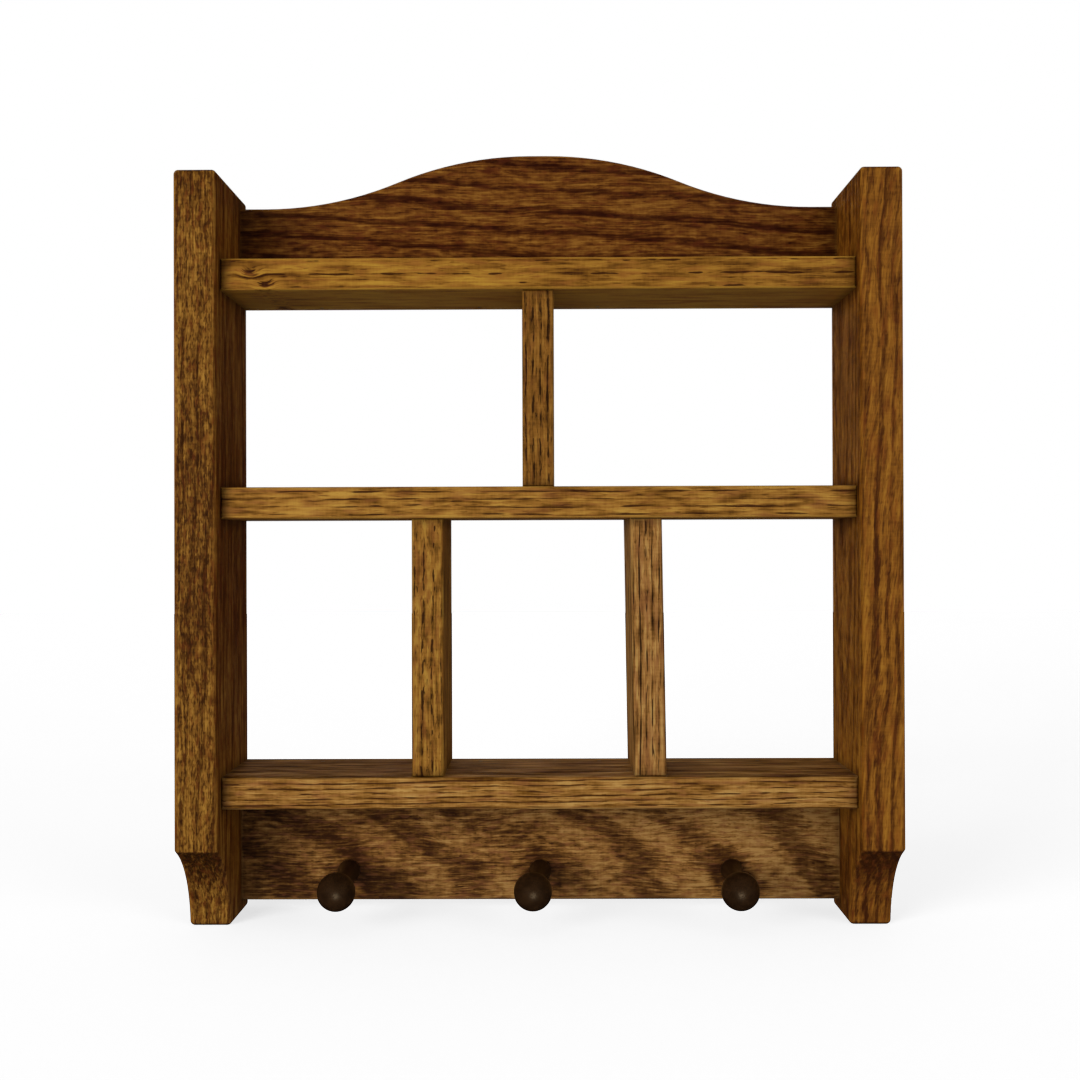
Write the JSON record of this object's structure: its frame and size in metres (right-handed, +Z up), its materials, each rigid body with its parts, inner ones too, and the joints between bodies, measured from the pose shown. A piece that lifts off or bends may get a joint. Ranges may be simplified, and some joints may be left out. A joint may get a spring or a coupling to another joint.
{
  "type": "wall cubby shelf",
  "caption": "Open-backed oak wall shelf with cubbies, coved sides, an arched top rail and a turned-peg rail below, hung on keyhole plates.",
  "frame": {"origin": "on the wall face, midway between the two points that the shelf hangs from, which are the upper ends of the keyhole slots", "axes": "+X to the viewer's right along the wall, +Y into the wall, +Z up; the front looks along -Y"},
  "size_m": [0.34, 0.064, 0.3801],
  "materials": {
    "stained_oak": "golden brown stain and satin varnish over open grain",
    "dark_peg_wood": "very dark brown stain, satin",
    "plain_steel": "bright",
    "zinc_plated_steel": "dull zinc plate"
  },
  "bodies": {
    "root": {"left_side": "stained_oak", "right_side": "stained_oak", "top_shelf": "stained_oak", "middle_shelf": "stained_oak", "bottom_shelf": "stained_oak", "upper_divider": "stained_oak", "lower_left_divider": "stained_oak", "lower_right_divider": "stained_oak", "top_rail": "stained_oak", "bottom_rail": "stained_oak", "left_side_plugs": "stained_oak", "right_side_plugs": "stained_oak", "left_peg": "dark_peg_wood", "middle_peg": "dark_peg_wood", "right_peg": "dark_peg_wood", "left_side_screws": "plain_steel", "right_side_screws": "plain_steel", "top_shelf_brads": "plain_steel", "middle_shelf_brads": "plain_steel", "bottom_shelf_brads": "plain_steel", "left_hanger": "zinc_plated_steel", "right_hanger": "zinc_plated_steel", "hanger_screws": "zinc_plated_steel"}
  },
  "joints": []
}
